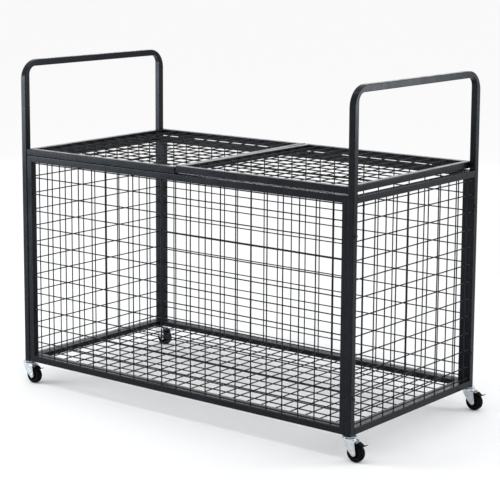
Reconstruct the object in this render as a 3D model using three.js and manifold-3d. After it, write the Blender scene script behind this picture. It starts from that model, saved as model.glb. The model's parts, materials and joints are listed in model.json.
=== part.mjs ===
// Ball cart: a wheeled cage for sports balls, with a push hoop at each end and two hinged mesh lids.
// Millimetres. X runs along the cart, Y from front to back, Z up.
// The origin is on the floor, under the middle of the whole cart as its casters stand.

import * as THREE from 'three';
import { mergeVertices } from 'three/addons/utils/BufferGeometryUtils.js';
import Module from 'manifold-3d';

const wasm = await Module();
wasm.setup();

// Overall sizes
const cartLength = 1190;
const cartDepth = 612;
const hoopTop = 970;
const topRailTop = 690;

// Square tube of the end frames, panels and lids
const tube = 19;
const tubeWall = 1.2;
const hoopOuterBend = 58;
const hoopInnerBend = 24;
const bendSteps = 6;
const footPlate = 3;

// Square tube of the floor frame, which lies flush with the tops of the bottom rails
const floorTube = 16;

// Welded wire mesh: thickness, spacing, and the wires next to the rails
const wire = 3;
const panelColumnPitch = 52.8;
const endColumnPitch = 51.2;
const rowPitch = 49.6;
const edgeRowMargin = 8.6;
const firstRowDrop = 40;
const frontEdgeRowMargin = 3;
const frontFirstRowDrop = 43;
const lidColumnPitch = 49.7;
const lidColumnShift = 10;
const lidRowPitch = 47.6;
const floorPitch = 49.5;
const meshRecess = 1.5;
const weldSink = 0.2;

// Clearances
const fit = 0.3;
const panelRecess = 2;
const lidEndGap = 1;
const leftLidFrontGap = 0.3;
const seamGap = 5;
const floorGap = 0.5;
const overrun = 1;

// Lid hinges
const leafThickness = 2;
const leafGap = 0.4;
const leafLength = 48;
const leafWidth = 16;
const endKnuckle = 12;
const knuckleDiameter = 6.4;
const hingePinDiameter = 3;
const hingeInset = 100;

// Bolts and the nuts welded inside the tubes
const boltDiameter = 5.7;
const boltHeadDiameter = 11;
const boltHeadHeight = 4;
const boltHeadRim = 2;
const boltCrownDiameter = 7;
const nutDiameter = 9;
const nutLength = 7;
const upperBoltDrop = 102;
const lowerBoltRise = 97.5;
const ventDiameter = 5;
const boltSides = 8;

// Casters: wheel and axle
const wheelDiameter = 50;
const wheelWidth = 19;
const tyreShoulder = 5;
const shoulderSteps = 2;
const rimDiameter = 34;
const rimDish = 2;
const wheelSides = 20;
const axleDiameter = 6;
const axleHeadDiameter = 9;
const axleHeadHeight = 1.5;
const trail = 21;

// Casters: fork, raceway and stem
const forkSheet = 2;
const wheelSideGap = 1.5;
const crownClearance = 6;
const crownDiameter = 38;
const cupWall = 2.7;
const cupHeight = 4;
const racewayHeight = 7.7;
const stemDiameter = 8;
const stemLength = 18;
const rivetDiameter = 11;
const rivetHeight = 2;
const legEndRadius = 9;
const legEndSteps = 5;
const legEndShare = 7 / 9;
const legFrontReach = 11;
const legKneeReach = 3;
const legKneeDrop = 19;
const legBackReach = 25;
const casterSides = 14;

// Casters: brake pedal, a bent strip that runs back over the wheel
const pedalPivotReach = 10;
const pedalPivotDrop = 3;
const pedalPinDiameter = 2.6;
const pedalHubDiameter = 5;
const pedalSheet = 1.8;
const pedalSideGap = 3;
const pedalShoeReach = 31;
const pedalHeelReach = 42;
const pedalHeelFall = 7.5;
const pedalTipReach = 53;
const pedalTipFall = 3.5;

// Finishes
const powderCoat = { color: 0x26272a, roughness: 0.42, metalness: 0.1 };
const blackWire = { color: 0x1d1e20, roughness: 0.5, metalness: 0.1 };
const blackSteel = { color: 0x151618, roughness: 0.45, metalness: 0.4 };
const zincPlate = { color: 0xc3c8cc, roughness: 0.28, metalness: 0.9 };
const tyreRubber = { color: 0x131314, roughness: 0.75, metalness: 0 };
const pedalSteel = { color: 0x6b6e70, roughness: 0.4, metalness: 0.8 };

// Places worked out from the sizes above
const crownBottom = wheelDiameter + crownClearance;
const crownTop = crownBottom + forkSheet;
const legBottom = crownTop + fit + racewayHeight;
const bottomRailTop = legBottom + tube;
const topRailBottom = topRailTop - tube;
const outerX = cartLength / 2;
const innerX = outerX - tube;
const innerY = cartDepth / 2 - tube;
const panelX = innerX - fit;
const panelFaceY = cartDepth / 2 - panelRecess;
const panelInnerY = panelFaceY - tube;
const lidBottom = topRailTop + 2 * leafThickness + leafGap;
const lidTop = lidBottom + tube;
const lidSeamX = seamGap / 2;
const lidEndX = innerX - lidEndGap;
const floorTop = bottomRailTop;
const floorBottom = floorTop - floorTube;
const floorX = innerX - floorGap;
const floorY = panelInnerY - floorGap;
const boltBore = boltDiameter + 2 * fit;
const stemBore = stemDiameter + 2 * fit;
const axleBore = axleDiameter + 2 * fit;

// Turns that carry a shape made along Y or Z onto another axis
const unitX = new THREE.Vector3(1, 0, 0);
const unitY = new THREE.Vector3(0, 1, 0);
const unitZ = new THREE.Vector3(0, 0, 1);
const turn = (x, y, z) => new THREE.Matrix4().makeBasis(x, y, z);
const back = (axis) => axis.clone().negate();
const outlineAlongX = turn(unitY, unitZ, unitX);
const outlineAlongY = turn(unitX, unitZ, back(unitY));
const rodTurns = {
  x: turn(unitY, unitX, back(unitZ)),
  minusX: turn(unitY, back(unitX), unitZ),
  y: new THREE.Matrix4(),
  z: turn(unitX, unitZ, back(unitY)),
};

// The casters all trail towards +X, so the cage lies a little towards -X of the origin
const cart = new THREE.Group();
cart.position.x = (crownDiameter / 2 - pedalTipReach) / 2;

// A geometry as a closed solid that can be cut and joined
function solid(geometry) {
  const bare = geometry.clone();
  bare.deleteAttribute('normal');
  bare.deleteAttribute('uv');
  const merged = mergeVertices(bare);
  return new wasm.Manifold(new wasm.Mesh({
    numProp: 3,
    vertProperties: Float32Array.from(merged.attributes.position.array),
    triVerts: Uint32Array.from(merged.index.array),
  }));
}

// A finished solid as a named mesh in the scene graph
function addPiece(name, shape, finish, parent = cart) {
  const result = shape.getMesh();
  const geometry = new THREE.BufferGeometry();
  geometry.setAttribute('position', new THREE.BufferAttribute(result.vertProperties, 3));
  geometry.setIndex(new THREE.BufferAttribute(result.triVerts, 1));
  geometry.computeVertexNormals();
  const mesh = new THREE.Mesh(geometry, new THREE.MeshStandardMaterial(finish));
  mesh.name = name;
  parent.add(mesh);
  return mesh;
}

// A box between its lowest and highest corner
function block(low, high) {
  const box = new THREE.BoxGeometry(1, 1, 1);
  const corners = box.attributes.position;
  for (let i = 0; i < corners.count; i += 1) {
    const unit = [corners.getX(i), corners.getY(i), corners.getZ(i)];
    corners.setXYZ(i, ...unit.map((value, axis) => (value < 0 ? low[axis] : high[axis])));
  }
  return solid(box);
}

// A round bar along an axis, from one place on it to another
function rod(axis, diameter, from, to, centre, sides) {
  const cylinder = new THREE.CylinderGeometry(diameter / 2, diameter / 2, to - from, sides);
  cylinder.translate(0, (from + to) / 2, 0);
  return solid(cylinder.applyMatrix4(rodTurns[axis]).translate(...centre));
}

// A profile of radius and height turned round an axis
function turned(axis, profile, sides, start = 0) {
  const points = profile.map(([radius, height]) => new THREE.Vector2(radius, height));
  return solid(new THREE.LatheGeometry(points, sides, start).applyMatrix4(rodTurns[axis]));
}

// An outline in Y and Z drawn out along X
function drawnAlongX(outline, from, to) {
  const geometry = new THREE.ExtrudeGeometry(outline, { depth: to - from, bevelEnabled: false });
  return solid(geometry.translate(0, 0, from).applyMatrix4(outlineAlongX));
}

// An outline in X and Z drawn out along Y
function drawnAlongY(outline, from, to) {
  const geometry = new THREE.ExtrudeGeometry(outline, { depth: to - from, bevelEnabled: false });
  return solid(geometry.translate(0, 0, -to).applyMatrix4(outlineAlongY));
}

// Points of an arc, both ends included
function arcPoints(centre, radius, from, to, steps) {
  return Array.from({ length: steps + 1 }, (_, i) => {
    const angle = from + ((to - from) * i) / steps;
    return new THREE.Vector2(centre[0] + radius * Math.cos(angle), centre[1] + radius * Math.sin(angle));
  });
}

// A closed ring of hollow square tube between two corners, lying flat across the given axis
function ringFrame(low, high, across, side) {
  const moved = (corner, amount) => corner.map((value, i) => (i === across ? value : value + amount));
  const grown = (corner, amount) => corner.map((value, i) => (i === across ? value + amount : value));
  const shrunk = (corner, amount) => corner.map((value) => value + amount);
  const window = block(grown(moved(low, side), -overrun), grown(moved(high, -side), overrun));
  const core = block(shrunk(low, tubeWall), shrunk(high, -tubeWall));
  const coreWindow = block(moved(low, side - tubeWall), moved(high, tubeWall - side));
  return block(low, high).subtract(window).subtract(core.subtract(coreWindow));
}

// A nut welded behind the wall of a tube, whose bore opens the wall and the hollow behind it.
// The face is where the bolt enters, and inward is the direction in which it goes along X.
function withNut(frame, face, inward, y, z) {
  const wallMiddle = face + (inward * tubeWall) / 2;
  const nutEnd = face + inward * (tubeWall + nutLength);
  const [nutFrom, nutTo] = [wallMiddle, nutEnd].sort((a, b) => a - b);
  const [boreFrom, boreTo] = [face - inward * overrun, nutEnd + inward * overrun].sort((a, b) => a - b);
  const nut = rod('x', nutDiameter, nutFrom, nutTo, [0, y, z], boltSides);
  return frame.add(nut).subtract(rod('x', boltBore, boreFrom, boreTo, [0, y, z], boltSides));
}

// A round-headed bolt along X: the head stands on the face, and the shank goes the other way
function bolt(headSide, length) {
  const profile = [
    [0, -length],
    [boltDiameter / 2, -length],
    [boltDiameter / 2, 0],
    [boltHeadDiameter / 2, 0],
    [boltHeadDiameter / 2, boltHeadRim],
    [boltCrownDiameter / 2, boltHeadHeight],
    [0, boltHeadHeight],
  ];
  return turned(headSide > 0 ? 'x' : 'minusX', profile, boltSides);
}

// Wires at one pitch about the middle of an opening, with at least half a pitch left at each side
function evenPlaces(from, to, pitch) {
  const count = Math.max(1, Math.floor((to - from) / pitch));
  const first = (from + to - (count - 1) * pitch) / 2;
  return Array.from({ length: count }, (_, i) => first + i * pitch);
}

// Rows between the rails of a side: a wire close to each rail, a shorter step down from the upper
// one, and full rows from there
function sideRows(margin, firstDrop) {
  const bottom = bottomRailTop + margin;
  const rows = [topRailBottom - margin];
  for (let row = rows[0] - firstDrop; row > bottom + rowPitch / 2; row -= rowPitch) {
    rows.push(row);
  }
  rows.push(bottom);
  return rows;
}

// A panel of wires in an opening from corner to corner. The columns lie nearest the face, and the
// rows lie behind them. The first row and the first column are welded to all the wires they cross.
// The order says which of width, height and depth runs along X, Y and Z.
function wirePanel({ low, high, columns, rows, face, inward, order }) {
  const depths = (start) => [face + inward * start, face + inward * (start + wire)].sort((a, b) => a - b);
  const rowStart = meshRecess + wire + fit;
  const columnDepths = columns.map((_, i) => depths(i === 0 ? meshRecess + fit + weldSink : meshRecess));
  const rowDepths = rows.map((_, i) => depths(i === 0 ? rowStart - fit - weldSink : rowStart));
  const uprights = columns.map((place, i) => [
    [place - wire / 2, low[1], columnDepths[i][0]],
    [place + wire / 2, high[1], columnDepths[i][1]],
  ]);
  const crossers = rows.map((place, i) => [
    [low[0], place - wire / 2, rowDepths[i][0]],
    [high[0], place + wire / 2, rowDepths[i][1]],
  ]);
  const ordered = (corner) => order.map((i) => corner[i]);
  const wires = [...uprights, ...crossers].map(([near, far]) => block(ordered(near), ordered(far)));
  return wasm.Manifold.union(wires);
}

// The outline of a hoop in Y and Z, an upside-down U with round shoulders, or of its hollow.
// The tube is flattened in the bends, so their outer and inner arcs have centres of their own.
function hoopOutline(skin, bottom) {
  const half = cartDepth / 2 - skin;
  const innerHalf = innerY + skin;
  const outerRadius = hoopOuterBend - skin;
  const innerRadius = hoopInnerBend + skin;
  const [outerY, outerZ] = [cartDepth / 2 - hoopOuterBend, hoopTop - hoopOuterBend];
  const [bendY, bendZ] = [innerY - hoopInnerBend, hoopTop - tube - hoopInnerBend];
  return new THREE.Shape([
    new THREE.Vector2(half, bottom),
    ...arcPoints([outerY, outerZ], outerRadius, 0, Math.PI / 2, bendSteps),
    ...arcPoints([-outerY, outerZ], outerRadius, Math.PI / 2, Math.PI, bendSteps),
    new THREE.Vector2(-half, bottom),
    new THREE.Vector2(-innerHalf, bottom),
    ...arcPoints([-bendY, bendZ], innerRadius, Math.PI, Math.PI / 2, bendSteps),
    ...arcPoints([bendY, bendZ], innerRadius, Math.PI / 2, 0, bendSteps),
    new THREE.Vector2(innerHalf, bottom),
  ]);
}

// Ends, fronts and levels that the bolts share
const ends = [['left', -1], ['right', 1]];
const fronts = [['front', -1], ['rear', 1]];
const boltLevels = [['upper', topRailTop - upperBoltDrop], ['lower', legBottom + lowerBoltRise]];
const boltY = panelFaceY - tube / 2;
const floorRows = evenPlaces(floorTube - floorY, floorY - floorTube, floorPitch);
const floorBoltY = (floorRows[1] + floorRows[2]) / 2;
const floorBoltZ = floorBottom + floorTube / 2;

// Hoops: the two posts and the push bar of an end, bent from one tube, with a plate in each foot
function hoop(side) {
  const [from, to] = [side * innerX, side * outerX].sort((a, b) => a - b);
  const skin = drawnAlongX(hoopOutline(0, legBottom), from, to);
  const hollow = drawnAlongX(hoopOutline(tubeWall, legBottom + footPlate), from + tubeWall, to - tubeWall);
  let shape = skin.subtract(hollow);
  for (const [, frontSide] of fronts) {
    const foot = [side * (outerX - tube / 2), frontSide * (innerY + tube / 2), 0];
    const hole = rod('z', stemBore, legBottom - overrun, legBottom + footPlate + overrun, foot, casterSides);
    shape = shape.subtract(hole);
    for (const [, level] of boltLevels) {
      const place = [0, frontSide * boltY, level];
      shape = shape.subtract(rod('x', boltBore, from - overrun, to + overrun, place, boltSides));
    }
  }
  return shape;
}

// Crossbars: open tubes welded between the posts of a hoop
function crossbar(side, bottom) {
  const [from, to] = [side * innerX, side * outerX].sort((a, b) => a - b);
  const skin = block([from, -innerY, bottom], [to, innerY, bottom + tube]);
  const low = [from + tubeWall, -innerY - overrun, bottom + tubeWall];
  const high = [to - tubeWall, innerY + overrun, bottom + tube - tubeWall];
  return skin.subtract(block(low, high));
}

function bottomCrossbar(side) {
  const bar = crossbar(side, legBottom);
  const oneNut = withNut(bar, side * innerX, side, floorBoltY, floorBoltZ);
  return withNut(oneNut, side * innerX, side, -floorBoltY, floorBoltZ);
}

function endMesh(side) {
  return wirePanel({
    low: [-innerY, bottomRailTop],
    high: [innerY, topRailBottom],
    columns: evenPlaces(-innerY, innerY, endColumnPitch),
    rows: sideRows(edgeRowMargin, firstRowDrop),
    face: side * outerX,
    inward: -side,
    order: [2, 0, 1],
  });
}

for (const [end, side] of ends) {
  addPiece(`${end}_hoop`, hoop(side), powderCoat);
  addPiece(`${end}_top_crossbar`, crossbar(side, topRailBottom), powderCoat);
  addPiece(`${end}_bottom_crossbar`, bottomCrossbar(side), powderCoat);
  addPiece(`${end}_end_mesh`, endMesh(side), blackWire);
}

// Front and rear panels: a ring of tube bolted between the hoops, filled with mesh
function panelFrame(frontSide) {
  const [near, far] = [frontSide * panelInnerY, frontSide * panelFaceY].sort((a, b) => a - b);
  let shape = ringFrame([-panelX, near, legBottom], [panelX, far, topRailTop], 1, tube);
  for (const [, side] of ends) {
    for (const [, level] of boltLevels) {
      shape = withNut(shape, side * panelX, -side, frontSide * boltY, level);
    }
  }
  return shape;
}

// The front mesh comes closer to its rails than the other meshes do
function panelMesh(frontSide) {
  const isFront = frontSide < 0;
  return wirePanel({
    low: [tube - panelX, bottomRailTop],
    high: [panelX - tube, topRailBottom],
    columns: evenPlaces(tube - panelX, panelX - tube, panelColumnPitch),
    rows: isFront ? sideRows(frontEdgeRowMargin, frontFirstRowDrop) : sideRows(edgeRowMargin, firstRowDrop),
    face: frontSide * panelFaceY,
    inward: -frontSide,
    order: [0, 2, 1],
  });
}

for (const [front, frontSide] of fronts) {
  addPiece(`${front}_panel_frame`, panelFrame(frontSide), powderCoat);
  addPiece(`${front}_panel_mesh`, panelMesh(frontSide), blackWire);
}

// Panel bolts: through each post into the nut inside the panel's end tube
const panelBoltLength = outerX - panelX + tubeWall + nutLength;
for (const [end, side] of ends) {
  for (const [front, frontSide] of fronts) {
    for (const [level, height] of boltLevels) {
      const piece = addPiece(`${end}_${front}_${level}_bolt`, bolt(side, panelBoltLength), blackSteel);
      piece.position.set(side * outerX, frontSide * boltY, height);
    }
  }
}

// Floor: a ring of thinner tube inside the four bottom rails, filled with mesh
function floorFrame() {
  let shape = ringFrame([-floorX, -floorY, floorBottom], [floorX, floorY, floorTop], 2, floorTube);
  for (const [, side] of ends) {
    const cut = [side * (floorX - floorTube) - side * overrun, side * floorX + side * overrun];
    const [from, to] = cut.sort((a, b) => a - b);
    for (const y of [floorBoltY, -floorBoltY]) {
      shape = shape.subtract(rod('x', boltBore, from, to, [0, y, floorBoltZ], boltSides));
    }
  }
  return shape;
}

function floorMesh() {
  return wirePanel({
    low: [floorTube - floorX, floorTube - floorY],
    high: [floorX - floorTube, floorY - floorTube],
    columns: evenPlaces(floorTube - floorX, floorX - floorTube, floorPitch),
    rows: floorRows,
    face: floorTop,
    inward: -1,
    order: [0, 1, 2],
  });
}

addPiece('floor_frame', floorFrame(), powderCoat);
addPiece('floor_mesh', floorMesh(), blackWire);

// Floor bolts: from inside the cage through the floor frame into the bottom crossbar
const floorBoltLength = floorTube + floorGap + tubeWall + nutLength;
for (const [end, side] of ends) {
  for (const [front, y] of [['front', floorBoltY], ['rear', -floorBoltY]]) {
    const piece = addPiece(`${end}_${front}_floor_bolt`, bolt(-side, floorBoltLength), blackSteel);
    piece.position.set(side * (floorX - floorTube), y, floorBoltZ);
  }
}

// Lids: two rings of tube that meet at the middle of the cart, each filled with mesh
function lidFrame(side) {
  const [from, to] = [side * lidSeamX, side * lidEndX].sort((a, b) => a - b);
  let shape = ringFrame([from, -panelFaceY, lidBottom], [to, panelFaceY, lidTop], 2, tube);
  for (const x of [from + tube / 2, to - tube / 2]) {
    const vent = rod('z', ventDiameter, lidBottom - overrun, lidBottom + tube / 2, [x, 0, 0], boltSides);
    shape = shape.subtract(vent);
  }
  return shape;
}

function lidMesh(side) {
  const [from, to] = [side * (lidSeamX + tube), side * (lidEndX - tube)].sort((a, b) => a - b);
  return wirePanel({
    low: [from, -panelInnerY],
    high: [to, panelInnerY],
    columns: evenPlaces(from, to, lidColumnPitch).map((place) => place - side * lidColumnShift),
    rows: evenPlaces(-panelInnerY, panelInnerY, lidRowPitch),
    face: lidTop,
    inward: -1,
    order: [0, 1, 2],
  });
}

// Hinges: a leaf welded on the rear top rail with the pin, and a leaf welded under the lid.
// They are shaped round the pin, which is the hinge's axis.
const hingeY = panelFaceY + fit + knuckleDiameter / 2;
const hingeZ = (topRailTop + lidBottom) / 2;
const leafHalf = leafLength / 2;
const leafFrom = panelFaceY - leafWidth - hingeY;
const leafTo = panelFaceY - hingeY;
const middleKnuckleHalf = leafHalf - endKnuckle - fit;

function railLeaf() {
  const bottom = topRailTop - hingeZ;
  const top = bottom + leafThickness;
  let shape = block([-leafHalf, leafFrom, bottom], [leafHalf, leafTo, top]);
  for (const [from, to] of [[-leafHalf, endKnuckle - leafHalf], [leafHalf - endKnuckle, leafHalf]]) {
    shape = shape.add(block([from, leafTo - fit, bottom], [to, 0, top]));
    shape = shape.add(rod('x', knuckleDiameter, from, to, [0, 0, 0], boltSides));
  }
  return shape.add(rod('x', hingePinDiameter, -leafHalf, leafHalf, [0, 0, 0], boltSides));
}

function lidLeaf() {
  const top = lidBottom - hingeZ;
  const bottom = top - leafThickness;
  const half = middleKnuckleHalf;
  const plate = block([-leafHalf, leafFrom, bottom], [leafHalf, leafTo, top]);
  const tongue = block([-half, leafTo - fit, bottom], [half, 0, top]);
  const knuckle = rod('x', knuckleDiameter, -half, half, [0, 0, 0], boltSides);
  const bore = rod('x', hingePinDiameter + 2 * fit, -half - overrun, half + overrun, [0, 0, 0], boltSides);
  return plate.add(tongue).add(knuckle).subtract(bore);
}

// The right lid lies level, and the left one leans on its hinges until its front is over the rail
const leftLidFall = lidBottom - topRailTop - leftLidFrontGap;
const lidLean = { left: Math.asin(leftLidFall / (hingeY + panelFaceY)), right: 0 };

for (const [end, side] of ends) {
  const lid = new THREE.Group();
  lid.position.set(0, hingeY, hingeZ);
  lid.rotation.x = lidLean[end];
  cart.add(lid);
  addPiece(`${end}_lid_frame`, lidFrame(side), powderCoat, lid).position.set(0, -hingeY, -hingeZ);
  addPiece(`${end}_lid_mesh`, lidMesh(side), blackWire, lid).position.set(0, -hingeY, -hingeZ);
  for (const [place, x] of [['inner', lidSeamX + hingeInset], ['outer', lidEndX - hingeInset]]) {
    const hinge = `${end}_${place}_hinge`;
    addPiece(`${hinge}_rail_leaf`, railLeaf(), blackSteel).position.set(side * x, hingeY, hingeZ);
    addPiece(`${hinge}_lid_leaf`, lidLeaf(), blackSteel, lid).position.set(side * x, 0, 0);
  }
}

// Casters, each shaped round its swivel axis with the wheel trailing towards +X
const legInnerY = wheelWidth / 2 + wheelSideGap;
const legOuterY = legInnerY + forkSheet;
const pedalPivotZ = crownBottom - pedalPivotDrop;

// The stem screws into the post's foot plate, carries the upper half of the raceway, and is
// riveted over under the crown of the fork. Its race turns clear of the facets of the fork's cup.
function casterStem() {
  const rivetTop = crownBottom - fit;
  const cupHollow = crownDiameter / 2 - cupWall;
  const raceRadius = cupHollow * Math.cos(Math.PI / casterSides) - fit;
  const flangeBottom = crownTop + cupHeight + fit;
  return turned('z', [
    [0, rivetTop - rivetHeight],
    [rivetDiameter / 2, rivetTop - rivetHeight],
    [rivetDiameter / 2, rivetTop],
    [stemDiameter / 2, rivetTop],
    [stemDiameter / 2, crownTop + fit],
    [raceRadius, crownTop + fit],
    [raceRadius, flangeBottom],
    [crownDiameter / 2, flangeBottom],
    [crownDiameter / 2, legBottom],
    [stemDiameter / 2, legBottom],
    [stemDiameter / 2, legBottom + stemLength],
    [0, legBottom + stemLength],
  ], casterSides);
}

// A leg of the fork: its front edge is bent at a knee, and its end is round about the axle
function forkLeg(from, to) {
  const arc = arcPoints([trail, wheelDiameter / 2], legEndRadius, -Math.PI * legEndShare, 0, legEndSteps);
  return drawnAlongY(new THREE.Shape([
    new THREE.Vector2(-legFrontReach, crownTop),
    new THREE.Vector2(-legFrontReach, crownBottom),
    new THREE.Vector2(-legKneeReach, crownBottom - legKneeDrop),
    ...arc,
    new THREE.Vector2(legBackReach, crownBottom),
    new THREE.Vector2(legBackReach, crownTop),
  ]), from, to);
}

function casterFork() {
  const cup = turned('z', [
    [stemBore / 2, crownBottom],
    [crownDiameter / 2, crownBottom],
    [crownDiameter / 2, crownTop + cupHeight],
    [crownDiameter / 2 - cupWall, crownTop + cupHeight],
    [crownDiameter / 2 - cupWall, crownTop],
    [stemBore / 2, crownTop],
    [stemBore / 2, crownBottom],
  ], casterSides);
  const plate = block([stemDiameter, -legOuterY, crownBottom], [legBackReach, legOuterY, crownTop]);
  const axle = [trail, 0, wheelDiameter / 2];
  const pivot = [pedalPivotReach, 0, pedalPivotZ];
  return cup
    .add(plate)
    .add(forkLeg(legInnerY, legOuterY))
    .add(forkLeg(-legOuterY, -legInnerY))
    .subtract(rod('y', axleBore, -legOuterY - overrun, legOuterY + overrun, axle, boltSides))
    .add(rod('y', pedalPinDiameter, -legOuterY, legOuterY, pivot, boltSides));
}

function casterAxle() {
  const half = legOuterY;
  return turned('y', [
    [0, -half - axleHeadHeight],
    [axleHeadDiameter / 2, -half - axleHeadHeight],
    [axleHeadDiameter / 2, -half],
    [axleDiameter / 2, -half],
    [axleDiameter / 2, half],
    [axleHeadDiameter / 2, half],
    [axleHeadDiameter / 2, half + axleHeadHeight],
    [0, half + axleHeadHeight],
  ], boltSides);
}

// The wheel's facets touch its true circle at their middles, so that it stands on a flat of the tread
function casterWheel() {
  const halfFacet = Math.PI / wheelSides;
  const half = wheelWidth / 2;
  const radius = wheelDiameter / 2 / Math.cos(halfFacet);
  const shoulder = [radius - tyreShoulder, half - tyreShoulder];
  const arc = arcPoints(shoulder, tyreShoulder, Math.PI / 2, 0, shoulderSteps);
  const upper = [[axleBore / 2, half], [rimDiameter / 2, half - rimDish], ...arc.map(({ x, y }) => [x, y])];
  const lower = upper.map(([place, height]) => [place, -height]);
  return turned('y', [...lower, ...upper.reverse(), lower[0]], wheelSides, halfFacet);
}

function brakePedal() {
  const half = legInnerY - pedalSideGap;
  const bends = [
    [pedalPivotReach, pedalPivotZ],
    [pedalShoeReach, pedalPivotZ],
    [pedalHeelReach, pedalPivotZ - pedalHeelFall],
    [pedalTipReach, pedalPivotZ - pedalTipFall],
  ];
  const upper = bends.map(([x, z]) => new THREE.Vector2(x, z + pedalSheet / 2));
  const lower = bends.map(([x, z]) => new THREE.Vector2(x, z - pedalSheet / 2));
  const pivot = [pedalPivotReach, 0, pedalPivotZ];
  return drawnAlongY(new THREE.Shape([...lower, ...upper.reverse()]), -half, half)
    .add(rod('y', pedalHubDiameter, -half, half, pivot, boltSides))
    .subtract(rod('y', pedalPinDiameter + 2 * fit, -half - overrun, half + overrun, pivot, boltSides));
}

for (const [end, side] of ends) {
  for (const [front, frontSide] of fronts) {
    const caster = new THREE.Group();
    caster.position.set(side * (outerX - tube / 2), frontSide * (innerY + tube / 2), 0);
    cart.add(caster);
    const name = `${end}_${front}_caster`;
    addPiece(`${name}_stem`, casterStem(), zincPlate, caster);
    addPiece(`${name}_fork`, casterFork(), zincPlate, caster);
    addPiece(`${name}_brake_pedal`, brakePedal(), pedalSteel, caster);
    const axlePlace = [trail, 0, wheelDiameter / 2];
    addPiece(`${name}_axle`, casterAxle(), zincPlate, caster).position.set(...axlePlace);
    addPiece(`${name}_wheel`, casterWheel(), tyreRubber, caster).position.set(...axlePlace);
  }
}

export default cart;
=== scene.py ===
"""Ball cart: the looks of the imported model, in metres and in the model's own frame."""

import json
import math
import random

import bmesh
import bpy
from mathutils import Matrix, Vector


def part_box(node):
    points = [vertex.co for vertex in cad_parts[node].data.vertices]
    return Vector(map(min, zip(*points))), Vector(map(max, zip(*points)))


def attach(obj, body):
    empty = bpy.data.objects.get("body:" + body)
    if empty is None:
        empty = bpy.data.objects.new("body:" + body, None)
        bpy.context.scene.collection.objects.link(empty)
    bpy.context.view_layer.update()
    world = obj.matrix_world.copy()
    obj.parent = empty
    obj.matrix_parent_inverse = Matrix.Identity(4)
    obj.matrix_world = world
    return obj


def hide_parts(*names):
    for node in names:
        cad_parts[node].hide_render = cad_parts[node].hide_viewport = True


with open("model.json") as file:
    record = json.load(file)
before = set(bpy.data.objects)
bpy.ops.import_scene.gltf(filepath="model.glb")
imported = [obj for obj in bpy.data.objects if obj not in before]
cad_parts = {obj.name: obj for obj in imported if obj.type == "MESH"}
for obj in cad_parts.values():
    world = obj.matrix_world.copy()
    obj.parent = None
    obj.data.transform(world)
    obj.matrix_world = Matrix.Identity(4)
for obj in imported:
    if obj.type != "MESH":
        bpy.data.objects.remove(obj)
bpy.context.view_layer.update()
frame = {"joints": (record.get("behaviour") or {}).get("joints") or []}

MM = 0.001
dice = random.Random(7)

# Smoothing: edges sharper than an angle in degrees stay sharp, and rounds have a few steps
SHARP_EDGE_ANGLE = 40
BEVEL_SEGMENTS = 2
ROUND_STEPS = 5
SHEET_BEND_STEPS = 6

# Square tube and its welds
TUBE_CORNER = 2.4 * MM
CORNER_STEPS = 4
HOOP_OUTER_BEND = 58 * MM
HOOP_INNER_BEND = 24 * MM
BEND_STEPS = 16
BEAD_RADIUS = 1.3 * MM
BEAD_STEP = 1.7 * MM
BEAD_SIZE_SHARES = (0.88, 1.12)
SEAM_FLATNESS_SHARE = 0.3

# Round wire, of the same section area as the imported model's square bars, and its welds
WIRE = 3.4 * MM
WIRE_BAR = 3 * MM
WIRE_SIDES = 12
WIRE_WAVER = 0.25 * MM
WAVER_STEP = 90 * MM
WELD_SINK = 0.5 * MM
NUGGET_RADIUS = 2.2 * MM
NUGGET_SIZE_SHARES = (0.86, 1.02)
NUGGET_FLATNESS_SHARE = 0.62

# Wire places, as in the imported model
PANEL_COLUMN_PITCH = 52.8 * MM
END_COLUMN_PITCH = 51.2 * MM
LID_COLUMN_PITCH = 49.7 * MM
LID_COLUMN_SHIFT = 10 * MM
LID_ROW_PITCH = 47.6 * MM
FLOOR_PITCH = 49.5 * MM
ROW_PITCH = 49.6 * MM
EDGE_ROW_MARGIN = 8.6 * MM
FIRST_ROW_DROP = 40 * MM
FRONT_EDGE_ROW_MARGIN = 3 * MM
FRONT_FIRST_ROW_DROP = 43 * MM

# Camera, fitted to the photograph. Its turn, downward tilt and roll are in degrees, and its sensor in
# millimetres.
PHOTO_PIXELS = 500
CAMERA_PLACE = Vector((2.886, -3.659, 1.364))
CAMERA_YAW = 38.218
CAMERA_PITCH = 8.662
CAMERA_ROLL = 0.297
FOCAL_PIXELS = 1641.3
CAMERA_SHIFT_Y = -0.15
SENSOR = 36
VIEW_DEPTH = 200

X = Vector((1, 0, 0))
Y = Vector((0, 1, 0))
Z = Vector((0, 0, 1))
AXIS_X, AXIS_Y, AXIS_Z = range(3)
UP = 1
ENDS = (("left", -1), ("right", 1))
FRONTS = (("front", -1), ("rear", 1))


# The left lid leans on its hinges, so its pieces are made level, like the right lid's, and leaned
LID_HINGE = Vector(next(j["pos_m"] for j in frame["joints"] if j["name"] == "left_lid_hinge"))


def left_lid_lean():
    leaning_low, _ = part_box("left_lid_frame")
    level_low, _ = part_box("right_lid_frame")
    angle = math.asin((level_low.z - leaning_low.z) / (LID_HINGE.y - level_low.y))
    return Matrix.Translation(LID_HINGE) @ Matrix.Rotation(angle, 4, "X") @ Matrix.Translation(-LID_HINGE)


LEFT_LID_LEAN = left_lid_lean()


def level_box(node):
    """A node's box at rest, or for the left lid's pieces the box that they have when level."""
    low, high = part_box(node)
    if not node.startswith("left_lid"):
        return low, high
    level_low, level_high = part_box(node.replace("left", "right", 1))
    return Vector((low.x, *level_low.yz)), Vector((high.x, *level_high.yz))


# Mesh helpers

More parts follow.
